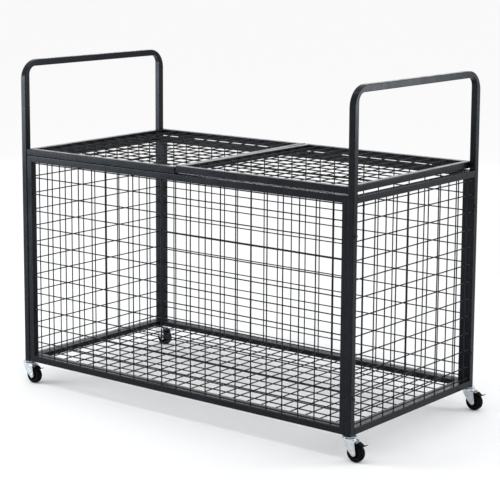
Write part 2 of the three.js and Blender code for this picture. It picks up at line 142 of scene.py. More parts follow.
def mesh_of(bm, name, material):
    bmesh.ops.recalc_face_normals(bm, faces=bm.faces)
    mesh = bpy.data.meshes.new(name)
    bm.to_mesh(mesh)
    bm.free()
    mesh.materials.append(material)
    mesh.shade_smooth()
    mesh.set_sharp_from_angle(angle=math.radians(SHARP_EDGE_ANGLE))
    return mesh


def place_piece(name, mesh, body, nodes, at=Vector()):
    piece = bpy.data.objects.new(name, mesh)
    bpy.context.scene.collection.objects.link(piece)
    piece.location = at
    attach(piece, body)
    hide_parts(*nodes)
    return piece


def new_piece(name, bm, material, body, node):
    """A mesh object from bm that rides on a body and stands for a CAD node."""
    if body == "left_lid":
        bm.transform(LEFT_LID_LEAN)
    return place_piece(name, mesh_of(bm, name, material), body, [node])


def weight_normals(piece):
    modifier = piece.modifiers.new("even_faces", "WEIGHTED_NORMAL")
    modifier.keep_sharp = True


def bevelled(piece, width):
    modifier = piece.modifiers.new("soft_edges", "BEVEL")
    modifier.width = width
    modifier.segments = BEVEL_SEGMENTS
    modifier.limit_method = "ANGLE"
    modifier.harden_normals = True


def towards(axis, place=Vector()):
    """The matrix that carries Z onto an axis and the origin to a place."""
    return Matrix.Translation(place) @ axis.to_track_quat("Z", "X").to_matrix().to_4x4()


def arc(centre, radius, start, end, steps):
    """Points of an arc in a plane, both ends included, with the angles in degrees."""
    angles = [math.radians(start + (end - start) * i / steps) for i in range(steps + 1)]
    return [(centre[0] + radius * math.cos(a), centre[1] + radius * math.sin(a)) for a in angles]


def curve(start, pull, end, steps):
    """Points of a smooth curve from start to end, drawn towards pull, both ends included."""
    shares = [i / steps for i in range(steps + 1)]
    return [start * (1 - t) ** 2 + pull * 2 * t * (1 - t) + end * t ** 2 for t in shares]


def rounded_rectangle(width, height, corner, steps):
    """Points round a rectangle, each with 1 in a rounded corner's middle and 0 at its ends."""
    points = []
    for turn in range(4):
        sign_u = 1 if turn in (0, 3) else -1
        sign_v = 1 if turn in (0, 1) else -1
        centre = (sign_u * (width / 2 - corner), sign_v * (height / 2 - corner))
        for i, point in enumerate(arc(centre, corner, 90 * turn, 90 * (turn + 1), steps)):
            points.append((Vector(point), math.sin(math.pi * i / steps)))
    return points


def circle_section(radius, sides):
    return [(Vector(point), 0) for point in arc((0, 0), radius, 0, 360, sides)[:-1]]


def add_ring(bm, corners):
    """A ring of corners, each a place and a share that tells how much the edge there is rubbed."""
    layer = bm.verts.layers.float.get("edge") or bm.verts.layers.float.new("edge")
    ring = []
    for place, edge in corners:
        vert = bm.verts.new(place)
        vert[layer] = edge
        ring.append(vert)
    return ring


def skin(bm, rings, closed=False):
    """Faces between each ring and the next, with flat ends unless the last meets the first."""
    pairs = list(zip(rings, rings[1:]))
    if closed:
        pairs.append((rings[-1], rings[0]))
    else:
        bm.faces.new(rings[0])
        bm.faces.new(rings[-1])
    for ring, following in pairs:
        for j in range(len(ring)):
            k = (j + 1) % len(ring)
            bm.faces.new((ring[j], ring[k], following[k], following[j]))


def sweep(bm, path, across, section, closed=False):
    """Draws a section along a flat path with mitred corners. across is the path's plane normal."""
    rings = []
    for i, point in enumerate(path):
        before = path[i - 1] if closed or i else point
        after = path[(i + 1) % len(path)] if closed or i + 1 < len(path) else point
        into = (point - before).normalized() if before != point else (after - point).normalized()
        out = (after - point).normalized() if after != point else into
        normal = (across.cross(into) + across.cross(out)).normalized()
        stretched = normal / normal.dot(across.cross(into))
        corners = [(point + stretched * at.x + across * at.y, edge) for at, edge in section]
        rings.append(add_ring(bm, corners))
    skin(bm, rings, closed)


def lathe(bm, profile, sides, turn=Matrix()):
    """Turns a profile of radius and height round Z, then moves it by a matrix."""
    rings = []
    for radius, height in profile:
        if radius == 0:
            rings.append([bm.verts.new(turn @ Vector((0, 0, height)))])
            continue
        circle = arc((0, 0), radius, 0, 360, sides)[:-1]
        rings.append([bm.verts.new(turn @ Vector((*point, height))) for point in circle])
    for ring, following in zip(rings, rings[1:]):
        for j in range(sides):
            k = (j + 1) % sides
            corners = [ring[j % len(ring)], ring[k % len(ring)]]
            corners += [following[k % len(following)], following[j % len(following)]]
            unique = list(dict.fromkeys(corners))
            if len(unique) > 2:
                bm.faces.new(unique)


def outline_prism(bm, outline, axis, start, end):
    """A closed outline of two coordinates drawn out along the third axis."""
    others = [i for i in range(3) if i != axis]

    def corner(point, along):
        place = Vector()
        place[others[0]], place[others[1]] = point
        place[axis] = along
        return bm.verts.new(place)

    skin(bm, [[corner(point, along) for point in outline] for along in (start, end)])


def copy_into(bm, other, move):
    """Adds another mesh to bm after moving it, and frees it."""
    verts = {v: bm.verts.new(move @ v.co) for v in other.verts}
    for face in other.faces:
        bm.faces.new([verts[v] for v in face.verts])
    other.free()


def unit_lump():
    """Corners and faces of a small round lump, kept once and copied for every weld, rib and grip bar."""
    bm = bmesh.new()
    bmesh.ops.create_icosphere(bm, subdivisions=1, radius=1)
    corners = [v.co.copy() for v in bm.verts]
    faces = [[v.index for v in face.verts] for face in bm.faces]
    bm.free()
    return corners, faces


LUMP_CORNERS, LUMP_FACES = unit_lump()


def lump(bm, centre, radii):
    scale = Matrix.Diagonal(radii)
    verts = [bm.verts.new(centre + scale @ corner) for corner in LUMP_CORNERS]
    for face in LUMP_FACES:
        bm.faces.new([verts[i] for i in face])


def bead(bm, start, end, normal, flatness=1):
    """A row of overlapping weld lumps from start to end, flattened along the normal."""
    count = max(2, round((end - start).length / BEAD_STEP))
    for i in range(count + 1):
        size = BEAD_RADIUS * dice.uniform(*BEAD_SIZE_SHARES)
        radii = [size * flatness if normal[axis] else size for axis in range(3)]
        lump(bm, start.lerp(end, i / count), Vector(radii))


# Material helpers
DUST_SLOPE_SHARE = 0.2


class Nodes:
    """Short names for the nodes that the materials are made of."""

    def __init__(self, name):
        self.material = bpy.data.materials.new(name)
        self.material.use_nodes = True
        self.tree = self.material.node_tree
        self.tree.nodes.clear()
        output = self.tree.nodes.new("ShaderNodeOutputMaterial")
        self.shader = self.tree.nodes.new("ShaderNodeBsdfPrincipled")
        self.link(self.shader.outputs[0], output.inputs[0])
        self.place = self.tree.nodes.new("ShaderNodeTexCoord").outputs["Object"]

    def link(self, source, target):
        self.tree.links.new(source, target)

    def stretched(self, scale):
        mapping = self.tree.nodes.new("ShaderNodeMapping")
        mapping.inputs["Scale"].default_value = scale
        self.link(self.place, mapping.inputs["Vector"])
        return mapping.outputs[0]

    def noise(self, scale, detail, place=None, distortion=0):
        node = self.tree.nodes.new("ShaderNodeTexNoise")
        node.inputs["Scale"].default_value = scale
        node.inputs["Detail"].default_value = detail
        node.inputs["Distortion"].default_value = distortion
        self.link(place or self.place, node.inputs["Vector"])
        return node.outputs["Fac"]

    def span(self, value, low, high, to_low, to_high):
        node = self.tree.nodes.new("ShaderNodeMapRange")
        names = ("From Min", "From Max", "To Min", "To Max")
        for name, number in zip(names, (low, high, to_low, to_high)):
            node.inputs[name].default_value = number
        self.link(value, node.inputs["Value"])
        return node.outputs[0]

    def pattern(self, scale, detail, start, full, low=0, high=1, distortion=0, place=None):
        """Noise that rises from low to high while its own value goes from start to full."""
        return self.span(self.noise(scale, detail, place, distortion), start, full, low, high)

    def math(self, operation, a, b):
        node = self.tree.nodes.new("ShaderNodeMath")
        node.operation = operation
        self.link(a, node.inputs[0])
        self.link(b, node.inputs[1])
        return node.outputs[0]

    def mix(self, share, a, b):
        node = self.tree.nodes.new("ShaderNodeMix")
        node.data_type = "RGBA"
        self.link(share, node.inputs["Factor"])
        colours = [socket for socket in node.inputs if socket.type == "RGBA"]
        for socket, value in zip(colours, (a, b)):
            if isinstance(value, tuple):
                socket.default_value = (*value, 1)
            else:
                self.link(value, socket)
        return next(socket for socket in node.outputs if socket.type == "RGBA")

    def attribute(self, name):
        node = self.tree.nodes.new("ShaderNodeAttribute")
        node.attribute_name = name
        return node.outputs["Fac"]

    def upward(self):
        """How far the surface faces up, from 0 on the sides to 1 on top."""
        split = self.tree.nodes.new("ShaderNodeSeparateXYZ")
        self.link(self.tree.nodes.new("ShaderNodeNewGeometry").outputs["Normal"], split.inputs[0])
        return self.span(split.outputs["Z"], DUST_SLOPE_SHARE, 1, 0, 1)

    def distance(self):
        """How far a point is from the middle of the model."""
        node = self.tree.nodes.new("ShaderNodeVectorMath")
        node.operation = "LENGTH"
        self.link(self.place, node.inputs[0])
        return node.outputs["Value"]

    def bump(self, height, strength, distance):
        node = self.tree.nodes.new("ShaderNodeBump")
        node.inputs["Strength"].default_value = strength
        node.inputs["Distance"].default_value = distance
        self.link(height, node.inputs["Height"])
        self.link(node.outputs[0], self.shader.inputs["Normal"])

    def finish(self, colour, roughness, specular=0.5, metallic=0, tint=(1, 1, 1)):
        self.shader.inputs["Specular IOR Level"].default_value = specular
        self.shader.inputs["Specular Tint"].default_value = (*tint, 1)
        self.shader.inputs["Metallic"].default_value = metallic
        self.link(colour, self.shader.inputs["Base Color"])
        self.link(roughness, self.shader.inputs["Roughness"])
        return self.material

    def seen(self):
        """One for rays from the camera, a reflection or a clear surface, and zero for the others."""
        return seen_rays(self.tree)


def seen_rays(tree):
    path = tree.nodes.new("ShaderNodeLightPath")
    share = path.outputs["Is Camera Ray"]
    for name in ("Is Glossy Ray", "Is Transmission Ray"):
        either = tree.nodes.new("ShaderNodeMath")
        either.operation = "MAXIMUM"
        tree.links.new(share, either.inputs[0])
        tree.links.new(path.outputs[name], either.inputs[1])
        share = either.outputs[0]
    return share


# Powder coat. A pattern has its waves per metre, its detail, the noise values that it rises between, and
# its full strength where that is not 1.
COAT_TINT = (0.8, 0.88, 1)
COAT_SPECULAR = 0.15
COAT_CLOUDS = {"scale": 9, "detail": 2, "start": 0.35, "full": 0.65}
COAT_SPECKS = {"scale": 420, "detail": 2, "start": 0.66, "full": 0.74, "high": 0.4}
COAT_DUST = {"scale": 60, "detail": 4, "start": 0.5, "full": 0.85, "high": 0.25}
COAT_RUBBING = {"scale": 130, "detail": 4, "start": 0.5, "full": 0.72, "high": 0.7, "distortion": 0.6}
COAT_GLOSS = {"scale": 28, "detail": 3, "start": 0.3, "full": 0.7}
COAT_PEEL = {"scale": 900, "detail": 2}
COAT_RIPPLE = {"scale": 170, "detail": 1}
PEEL_STRENGTH = 0.22
PEEL_HEIGHT = 0.25 * MM


def powder_coat(name, dark, light, worn, rough_low, rough_high):
    """Semi-gloss black powder coat: orange peel, cloudy gloss, a little dust on top, rubbed edges."""
    n = Nodes(name)
    colour = n.mix(n.pattern(**COAT_CLOUDS), dark, light)
    colour = n.mix(n.pattern(**COAT_SPECKS), colour, light)
    dust = n.math("MULTIPLY", n.upward(), n.pattern(**COAT_DUST))
    colour = n.mix(dust, colour, worn)
    rubbed = n.math("MULTIPLY", n.attribute("edge"), n.pattern(**COAT_RUBBING))
    colour = n.mix(rubbed, colour, worn)
    roughness = n.pattern(**COAT_GLOSS, low=rough_low, high=rough_high)
    peel = n.math("ADD", n.noise(**COAT_PEEL), n.noise(**COAT_RIPPLE))
    n.bump(peel, PEEL_STRENGTH, PEEL_HEIGHT)
    return n.finish(colour, roughness, specular=COAT_SPECULAR, tint=COAT_TINT)


# Plated and blackened steel
STEEL_CLOUDS = {"scale": 60, "detail": 2, "start": 0.3, "full": 0.7, "distortion": 0.4}
STEEL_STAINS = {"scale": 240, "detail": 4, "start": 0.62, "full": 0.85, "high": 0.35, "distortion": 1.5}
STEEL_HANDLING = {"scale": 90, "detail": 2}
STEEL_GLOSS_RANGE = (0.7, 1.3)
STEEL_PITS = {"scale": 700, "detail": 2}
GRAIN_DETAIL = 3
GRAIN_STRENGTH = 0.1
GRAIN_HEIGHT = 0.2 * MM


def bare_steel(name, dark, light, stain, metallic, rough_low, rough_high, grain_scale):
    """Plated or blackened steel: drawn grain, cloudy plating, darker stains and handling marks."""
    n = Nodes(name)
    colour = n.mix(n.pattern(**STEEL_CLOUDS), dark, light)
    colour = n.mix(n.pattern(**STEEL_STAINS), colour, stain)
    grain = n.noise(1, GRAIN_DETAIL, place=n.stretched(grain_scale))
    gloss = n.math("ADD", n.noise(**STEEL_HANDLING), grain)
    roughness = n.span(gloss, *STEEL_GLOSS_RANGE, rough_low, rough_high)
    n.bump(n.math("ADD", grain, n.noise(**STEEL_PITS)), GRAIN_STRENGTH, GRAIN_HEIGHT)
    return n.finish(colour, roughness, metallic=metallic)


# Rubber, moulded plastic and the pedals' black, which is partly a coat and partly painted shade
BLACK_SPECULAR = 0.03
BLACK_CLOUDS = {"scale": 70, "detail": 3, "start": 0.35, "full": 0.65}
BLACK_GLOSS = {"scale": 190, "detail": 3, "start": 0.3, "full": 0.7}
SCUFF_STRETCH = (220, 900, 220)
SCUFFS = {"scale": 1, "detail": 4, "start": 0.62, "full": 0.82, "high": 0.4}
MOULD_DETAIL = 3
MOULD_STRENGTH = 0.3
MOULD_HEIGHT = 0.3 * MM


def soft_black(name, dark, light, dusty, rough_low, rough_high, grain_scale):
    """Rubber, plastic or the pedals' black coat, which on the pedals also stands in for shade: fine moulded
    grain, scuffs and a trace of floor dust.
    """
    n = Nodes(name)
    colour = n.mix(n.pattern(**BLACK_CLOUDS), dark, light)
    scuffs = n.pattern(**SCUFFS, place=n.stretched(SCUFF_STRETCH))
    colour = n.mix(scuffs, colour, dusty)
    roughness = n.pattern(**BLACK_GLOSS, low=rough_low, high=rough_high)
    n.bump(n.noise(grain_scale, MOULD_DETAIL), MOULD_STRENGTH, MOULD_HEIGHT)
    return n.finish(colour, roughness, specular=BLACK_SPECULAR)


COAT = powder_coat("black_powder_coat", dark=(0.0034, 0.0039, 0.0052), light=(0.0058, 0.0065, 0.0085),
                   worn=(0.045, 0.048, 0.054), rough_low=0.2, rough_high=0.32)
WIRE_COAT = powder_coat("black_coated_wire", dark=(0.004, 0.0042, 0.005), light=(0.008, 0.0083, 0.0095),
                        worn=(0.04, 0.041, 0.045), rough_low=0.34, rough_high=0.48)
BLACK_STEEL = bare_steel("blackened_steel", dark=(0.009, 0.0095, 0.011), light=(0.02, 0.021, 0.024),
                         stain=(0.04, 0.037, 0.034), metallic=0.4, rough_low=0.28, rough_high=0.46,
                         grain_scale=(300, 1500, 1500))
ZINC = bare_steel("zinc_plate", dark=(0.5, 0.54, 0.58), light=(0.62, 0.66, 0.69),
                  stain=(0.4, 0.42, 0.44), metallic=1, rough_low=0.22, rough_high=0.36,
                  grain_scale=(1400, 1400, 120))
PEDAL_BLACK_AND_SHADE = soft_black("pedal_black_and_shade", dark=(0.003, 0.003, 0.0032), light=(0.006, 0.006, 0.0062),
                        dusty=(0.03, 0.029, 0.028), rough_low=0.3, rough_high=0.45, grain_scale=1500)
RUBBER = soft_black("wheel_rubber", dark=(0.002, 0.002, 0.0021), light=(0.0045, 0.0043, 0.0043),
                    dusty=(0.02, 0.0185, 0.017), rough_low=0.4, rough_high=0.6, grain_scale=900)
HUB_PLASTIC = soft_black("hub_plastic", dark=(0.006, 0.006, 0.0062), light=(0.011, 0.011, 0.0112),
                         dusty=(0.035, 0.034, 0.033), rough_low=0.36, rough_high=0.5, grain_scale=1500)

# Hoops: one bent tube each, which is flattened in its bends, and the crossbars between the posts
hoop_low, hoop_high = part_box("right_hoop")
TUBE = hoop_high.x - hoop_low.x
TUBE_SECTION = rounded_rectangle(TUBE, TUBE, TUBE_CORNER, CORNER_STEPS)


def hoop_side(half, top, bend, bottom):
    """One side of a hoop's tube in Y and Z: up the front, over both bends and down the rear."""
    points = [(-half, bottom)]
    points += arc((bend - half, top - bend), bend, 180, 90, BEND_STEPS)
    points += arc((half - bend, top - bend), bend, 90, 0, BEND_STEPS)
    return [*points, (half, bottom)]


def make_hoop(end):
    low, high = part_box(f"{end}_hoop")
    middle_x = (low.x + high.x) / 2
    outer_side = hoop_side(high.y, high.z, HOOP_OUTER_BEND, low.z)
    inner_side = hoop_side(high.y - TUBE, high.z - TUBE, HOOP_INNER_BEND, low.z)
    bm = bmesh.new()
    rings = []
    for outer, inner in zip(outer_side, inner_side):
        centre = Vector((middle_x, (outer[0] + inner[0]) / 2, (outer[1] + inner[1]) / 2))
        half_across = Vector((0, outer[0] - inner[0], outer[1] - inner[1])) / TUBE
        corners = [(centre + half_across * at.x + X * at.y, edge) for at, edge in TUBE_SECTION]
        rings.append(add_ring(bm, corners))
    skin(bm, rings)
    weight_normals(new_piece(f"{end}_hoop_tube", bm, COAT, "cage", f"{end}_hoop"))


def make_crossbar(end, level):
    node = f"{end}_{level}_crossbar"
    low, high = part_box(node)
    middle = (low + high) / 2
    bm = bmesh.new()
    sweep(bm, [Vector((middle.x, y, middle.z)) for y in (low.y, high.y)], Z, TUBE_SECTION)
    side_from, side_to = low.z + TUBE_CORNER, high.z - TUBE_CORNER
    top_from, top_to = low.x + TUBE_CORNER, high.x - TUBE_CORNER
    for y in (low.y + BEAD_RADIUS / 2, high.y - BEAD_RADIUS / 2):
        for x in (low.x, high.x):
            bead(bm, Vector((x, y, side_from)), Vector((x, y, side_to)), X, SEAM_FLATNESS_SHARE)
        for z in (low.z, high.z):
            bead(bm, Vector((top_from, y, z)), Vector((top_to, y, z)), Z)
    weight_normals(new_piece(f"{node}_tube", bm, COAT, "cage", node))


for end, _ in ENDS:
    make_hoop(end)
    for level in ("top", "bottom"):
        make_crossbar(end, level)


# Frames: rings of square tube with mitred, welded corners

def ring_corners(low, high, across, inset):
    """Corners of a rectangle in the middle of a box, drawn in by an inset."""
    u, v = [i for i in range(3) if i != across]
    corners = []
    for at_high_u, at_high_v in ((0, 0), (1, 0), (1, 1), (0, 1)):
        place = (low + high) / 2
        place[u] = high[u] - inset if at_high_u else low[u] + inset
        place[v] = high[v] - inset if at_high_v else low[v] + inset
        corners.append(place)
    return corners


def make_frame(node, across, body):
    low, high = level_box(node)
    side = high[across] - low[across]
    normal = (X, Y, Z)[across]
    bm = bmesh.new()
    section = rounded_rectangle(side, side, TUBE_CORNER, CORNER_STEPS)
    sweep(bm, ring_corners(low, high, across, side / 2), normal, section, closed=True)
    outer = ring_corners(low, high, across, TUBE_CORNER)
    inner = ring_corners(low, high, across, side - TUBE_CORNER)
    for start, end in zip(outer, inner):
        for towards_face in (normal * side / 2, -normal * side / 2):
            bead(bm, start + towards_face, end + towards_face, normal, SEAM_FLATNESS_SHARE)
    reach = normal * (side / 2 - TUBE_CORNER)
    for corner in ring_corners(low, high, across, side):
        bead(bm, corner - reach, corner + reach, Vector())
    weight_normals(new_piece(f"{node}_tube", bm, COAT, body, node))


for front, _ in FRONTS:
    make_frame(f"{front}_panel_frame", AXIS_Y, "cage")
make_frame("floor_frame", AXIS_Z, "cage")
for end, _ in ENDS:
    make_frame(f"{end}_lid_frame", AXIS_Z, f"{end}_lid")


# Meshes of round welded wire

def even_places(start, end, pitch):
    """Wires at one pitch about the middle of an opening."""
    count = max(1, math.floor((end - start) / pitch))
    first = (start + end - (count - 1) * pitch) / 2
    return [first + i * pitch for i in range(count)]


def side_rows(low, high, margin=EDGE_ROW_MARGIN, first_drop=FIRST_ROW_DROP):
    """Rows of a side: one close to each rail, a shorter step down from the upper one, then full rows."""
    bottom = low.z + margin
    rows = [high.z - margin]
    row = rows[0] - first_drop
    while row > bottom + ROW_PITCH / 2:
        rows.append(row)
        row -= ROW_PITCH
    return [*rows, bottom]


def wire_path(start, end, sway):
    """A nearly straight line that wavers a little along sway between its ends."""
    steps = max(2, round((end - start).length / WAVER_STEP))
    points = [start]
    for i in range(1, steps):
        points.append(start.lerp(end, i / steps) + sway * dice.uniform(-WIRE_WAVER, WIRE_WAVER))
    return [*points, end]


def make_wires(node, body, across, outward, columns, rows):
    """Columns run along the mesh's second direction, next to its outer face, and rows behind them."""
    low, high = level_box(node)
    u, v = [i for i in range(3) if i != across]
    axes = (X, Y, Z)
    face = high[across] if outward > 0 else low[across]
    column_depth = face - outward * WIRE_BAR / 2
    row_depth = column_depth - outward * (WIRE - WELD_SINK)
    section = circle_section(WIRE / 2, WIRE_SIDES)
    ball = Vector((NUGGET_RADIUS, NUGGET_RADIUS, NUGGET_RADIUS))
    ball[across] *= NUGGET_FLATNESS_SHARE
    bm = bmesh.new()

    def place(along_u, along_v, depth):
        point = Vector()
        point[u], point[v], point[across] = along_u, along_v, depth
        return point

    def add_wire(start, end, sway):
        sweep(bm, wire_path(start, end, sway), axes[across], section)
        for tip in (start, end):
            lump(bm, tip, ball)

    for column in columns:
        add_wire(place(column, low[v], column_depth), place(column, high[v], column_depth), axes[u])
    for row in rows:
        add_wire(place(low[u], row, row_depth), place(high[u], row, row_depth), axes[v])
        for column in columns:
            crossing = place(column, row, (column_depth + row_depth) / 2)
            lump(bm, crossing, ball * dice.uniform(*NUGGET_SIZE_SHARES))
    new_piece(f"{node}_wires", bm, WIRE_COAT, body, node)


for front, side in FRONTS:
    node = f"{front}_panel_mesh"
    low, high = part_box(node)
    rows = side_rows(low, high)
    if front == "front":
        rows = side_rows(low, high, FRONT_EDGE_ROW_MARGIN, FRONT_FIRST_ROW_DROP)
    columns = even_places(low.x, high.x, PANEL_COLUMN_PITCH)
    make_wires(node, "cage", AXIS_Y, side, columns, rows)
for end, side in ENDS:
    node = f"{end}_end_mesh"
    low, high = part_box(node)
    columns = even_places(low.y, high.y, END_COLUMN_PITCH)
    make_wires(node, "cage", AXIS_X, side, columns, side_rows(low, high))
    node = f"{end}_lid_mesh"
    low, high = level_box(node)
    shift = side * LID_COLUMN_SHIFT
    columns = even_places(low.x - shift, high.x - shift, LID_COLUMN_PITCH)
    rows = even_places(low.y, high.y, LID_ROW_PITCH)
    make_wires(node, f"{end}_lid", AXIS_Z, UP, columns, rows)
low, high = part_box("floor_mesh")
columns = even_places(low.x, high.x, FLOOR_PITCH)
rows = even_places(low.y, high.y, FLOOR_PITCH)
make_wires("floor_mesh", "cage", AXIS_Z, UP, columns, rows)

# Bolts: button heads with a round recess
HEAD_HEIGHT = 4 * MM
HEAD_RIM = 0.8 * MM
HEAD_STEPS = 6
HEAD_DOME_ANGLES = (4, 72)
HEAD_SIDES = 36
RIM_START_SHARE = 0.97
RECESS_SHARE = 0.36
RECESS_CHAMFER_SHARE = 1.12
RECESS_DEPTH = 2.2 * MM


def make_bolt(node, outward):
    low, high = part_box(node)
    centre = (low + high) / 2
    centre.x = high.x - HEAD_HEIGHT if outward > 0 else low.x + HEAD_HEIGHT
    radius = (high.y - low.y) / 2
    recess = radius * RECESS_SHARE
    profile = [(0, -HEAD_HEIGHT), (radius / 2, -HEAD_HEIGHT), (radius / 2, 0)]
    profile += [(radius * RIM_START_SHARE, 0), (radius, HEAD_RIM / 2)]
    for across, up in arc((0, 0), 1, *HEAD_DOME_ANGLES, HEAD_STEPS):
        profile.append((radius * across, HEAD_RIM + (HEAD_HEIGHT - HEAD_RIM) * up))
    top = profile[-1][1]
    profile += [(recess * RECESS_CHAMFER_SHARE, top), (recess, top - HEAD_RIM / 4)]
    profile += [(recess, top - RECESS_DEPTH), (0, top - RECESS_DEPTH - HEAD_RIM / 2)]
    bm = bmesh.new()
    lathe(bm, profile, HEAD_SIDES, towards(outward * X, centre))
    new_piece(f"{node}_head", bm, BLACK_STEEL, "cage", node)


for end, side in ENDS:
    for front, _ in FRONTS:
        for level in ("upper", "lower"):
            make_bolt(f"{end}_{front}_{level}_bolt", side)
        make_bolt(f"{end}_{front}_floor_bolt", -side)

# Hinges: rolled knuckles on leaves with round corners
LEAF_CORNER = 3 * MM
LEAF_THICKNESS = 2 * MM
KNUCKLE_RIM = 0.5 * MM
KNUCKLE_SIDES = 32
END_KNUCKLE = 12 * MM
KNUCKLE_GAP = 0.3 * MM
LEAF_BEVEL = 0.25 * MM
LEAF_BEAD_SHARE = 0.7


def knuckle(bm, start, end, radius):
    """A rolled knuckle round the hinge's axis, with softened ends."""
    near, far = start + KNUCKLE_RIM, end - KNUCKLE_RIM
    profile = [(0, start), (radius - KNUCKLE_RIM, start), (radius, near), (radius, far),
               (radius - KNUCKLE_RIM, end), (0, end)]
    lathe(bm, profile, KNUCKLE_SIDES, towards(X, Vector((0, *LID_HINGE.yz))))


def leaf_plate(bm, low_x, high_x, low_y, high_y, bottom):
    """A flat leaf: round corners at its free edge and nearly sharp ones at the knuckles."""
    inner, outer = LEAF_CORNER, KNUCKLE_RIM
    outline = arc((high_x - outer, high_y - outer), outer, 0, 90, ROUND_STEPS)
    outline += arc((low_x + outer, high_y - outer), outer, 90, 180, ROUND_STEPS)
    outline += arc((low_x + inner, low_y + inner), inner, 180, 270, ROUND_STEPS)
    outline += arc((high_x - inner, low_y + inner), inner, 270, 360, ROUND_STEPS)
    outline_prism(bm, outline, AXIS_Z, bottom, bottom + LEAF_THICKNESS)


def make_leaf(node, body, spans, bottom, weld_z):
    """One leaf of a hinge, with a knuckle and its tongue for each span along the axis."""
    low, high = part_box(node)
    rail_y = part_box("rear_panel_frame")[1].y
    bm = bmesh.new()
    leaf_plate(bm, low.x, high.x, low.y, rail_y, bottom)
    for start, end in spans:
        knuckle(bm, start, end, high.y - LID_HINGE.y)
        y_from, y_to = rail_y - LEAF_THICKNESS, LID_HINGE.y
        z_from, z_to = bottom, bottom + LEAF_THICKNESS
        tongue = [(y_from, z_from), (y_to, z_from), (y_to, z_to), (y_from, z_to)]
        outline_prism(bm, tongue, AXIS_X, start, end)
    for y in (low.y, rail_y - LEAF_THICKNESS):
        start = Vector((low.x + LEAF_CORNER, y, weld_z))
        end = Vector((high.x - LEAF_CORNER, y, weld_z))
        bead(bm, start, end, Z, LEAF_BEAD_SHARE)
    bevelled(new_piece(f"{node}_plate", bm, BLACK_STEEL, body, node), LEAF_BEVEL)


def make_hinge(end, place):
    node = f"{end}_{place}_hinge"
    low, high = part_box(f"{node}_rail_leaf")
    rail_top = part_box("rear_panel_frame")[1].z
    lid_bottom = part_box("right_lid_frame")[0].z
    inner_low, inner_high = low.x + END_KNUCKLE, high.x - END_KNUCKLE
    rail_spans = [(low.x, inner_low), (inner_high, high.x)]
    lid_spans = [(inner_low + KNUCKLE_GAP, inner_high - KNUCKLE_GAP)]
    make_leaf(f"{node}_rail_leaf", "cage", rail_spans, rail_top, rail_top + BEAD_RADIUS / 2)
    make_leaf(f"{node}_lid_leaf", f"{end}_lid", lid_spans, lid_bottom - LEAF_THICKNESS,
              lid_bottom - BEAD_RADIUS / 2)


for end, _ in ENDS:
    for place in ("inner", "outer"):
        make_hinge(end, place)

# Casters: the stem, fork and pedal are shaped round the swivel axis, with the floor at zero, and the
# axle, tyre and hub round the middle of the wheel
stem_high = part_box("right_front_caster_stem")[1]
wheel_low, wheel_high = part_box("right_front_caster_wheel")
fork_low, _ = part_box("right_front_caster_fork")
axle_low, axle_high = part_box("right_front_caster_axle")
LEG_BOTTOM = hoop_low.z
SWIVEL_X = (hoop_low.x + hoop_high.x) / 2
WHEEL_RADIUS = (wheel_high.z - wheel_low.z) / 2
WHEEL_HALF = (wheel_high.y - wheel_low.y) / 2
TRAIL = (wheel_low.x + wheel_high.x) / 2 - SWIVEL_X
CUP_RADIUS = SWIVEL_X - fork_low.x
SHEET = 2 * MM
CROWN_CLEARANCE = 6 * MM
CROWN_BOTTOM = wheel_high.z + CROWN_CLEARANCE
CROWN_TOP = CROWN_BOTTOM + SHEET
GAP = 0.3 * MM

# Raceway: a thin upper disc, a deep groove painted dark as shade, and the cup below it
CUP_WALL = 2.7 * MM
CUP_HEIGHT = 4 * MM
CUP_TOP = CROWN_TOP + CUP_HEIGHT
CUP_RIM = 1.4 * MM
DISC_THICKNESS = 1.8 * MM
GROOVE_RADIUS = 13 * MM
# How far out from the axis the groove's painted shade reaches
PAINTED_SHADE_REACH = 17 * MM
RACE_LIP = 1 * MM
STEM_RADIUS = 4 * MM
RIVET_RADIUS = 5.5 * MM
RIVET_HEIGHT = 2 * MM
RIVET_STEPS = 4
CUP_RIM_ANGLES = (0, 100)
RACE_SIDES = 64

# Fork: its legs close in on the axle, and each has a shallow pressed rib
LEG_END = 7.6 * MM
LEG_END_SET_BACK = 0.9 * MM
LEG_END_ANGLES = (-140, 0)
LEG_END_STEPS = 16
LEG_FRONT = 11 * MM
LEG_BACK = 23.2 * MM
LEG_PULL = Vector((-4.5 * MM, 36.4 * MM))
LEG_STEPS = 10
FORK_BEND = 3 * MM
FORK_BEVEL = 0.3 * MM
RIB_START = Vector((-3 * MM, 48 * MM))
RIB_END = Vector((17 * MM, 32 * MM))
RIB_WIDTH = 2.4 * MM
RIB_HEIGHT = 0.5 * MM
RIB_STEPS = 22
RIB_SWELL_SHARES = (0.12, 0.88)

# Axle: a rivet with domed heads
AXLE_HEAD = 1.5 * MM
AXLE_HEAD_RADIUS = 4.5 * MM
AXLE_RADIUS = 3 * MM
AXLE_SIDES = 40
AXLE_DOME_SHARES = ((1, 0.45), (0.86, 0.85), (0.6, 1), (0.32, 1), (0.26, 0.67), (0, 0.67))
LEG_OUTER = (axle_high.y - axle_low.y) / 2 - AXLE_HEAD
LEG_INNER = LEG_OUTER - SHEET


